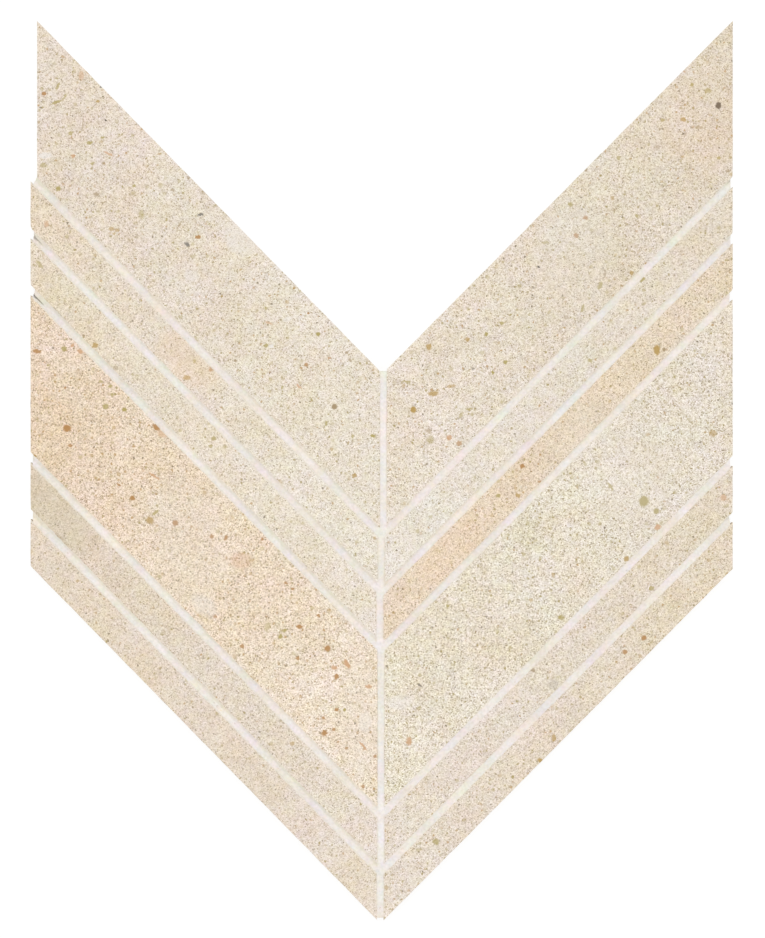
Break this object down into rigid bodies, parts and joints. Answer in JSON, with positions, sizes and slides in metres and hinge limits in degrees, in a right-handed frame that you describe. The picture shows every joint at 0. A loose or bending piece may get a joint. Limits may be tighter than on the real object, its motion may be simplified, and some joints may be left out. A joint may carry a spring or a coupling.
{
  "type": "chevron wall tile",
  "caption": "Flat mosaic wall tile sheet shaped as a chevron: two mitred arms of wide and narrow strips, joined by grout along each seam and down the middle.",
  "frame": {"origin": "middle of the sheet's box, on the underside of the backing net", "axes": "+X across the sheet to the picture's right, +Y from the point up to the notch, +Z out of the wall through the tiled face"},
  "size_m": [0.3, 0.3844, 0.0094],
  "materials": {
    "left_strip_1": "honed limestone-look glaze",
    "left_strip_2": "honed limestone-look glaze",
    "left_strip_3": "honed limestone-look glaze",
    "left_strip_4": "honed limestone-look glaze",
    "left_strip_5": "honed limestone-look glaze",
    "left_strip_6": "honed limestone-look glaze",
    "right_strip_1": "honed limestone-look glaze",
    "right_strip_2": "honed limestone-look glaze",
    "right_strip_3": "honed limestone-look glaze",
    "right_strip_4": "honed limestone-look glaze",
    "right_strip_5": "honed limestone-look glaze",
    "right_strip_6": "honed limestone-look glaze",
    "grout": "fine unsanded cement grout",
    "backing_net": "open glass-fibre net"
  },
  "bodies": {
    "root": {"left_strip_1": "left_strip_1", "left_strip_2": "left_strip_2", "left_strip_3": "left_strip_3", "left_strip_4": "left_strip_4", "left_strip_5": "left_strip_5", "left_strip_6": "left_strip_6", "right_strip_1": "right_strip_1", "right_strip_2": "right_strip_2", "right_strip_3": "right_strip_3", "right_strip_4": "right_strip_4", "right_strip_5": "right_strip_5", "right_strip_6": "right_strip_6", "grout": "grout", "backing_net": "backing_net"}
  },
  "joints": []
}
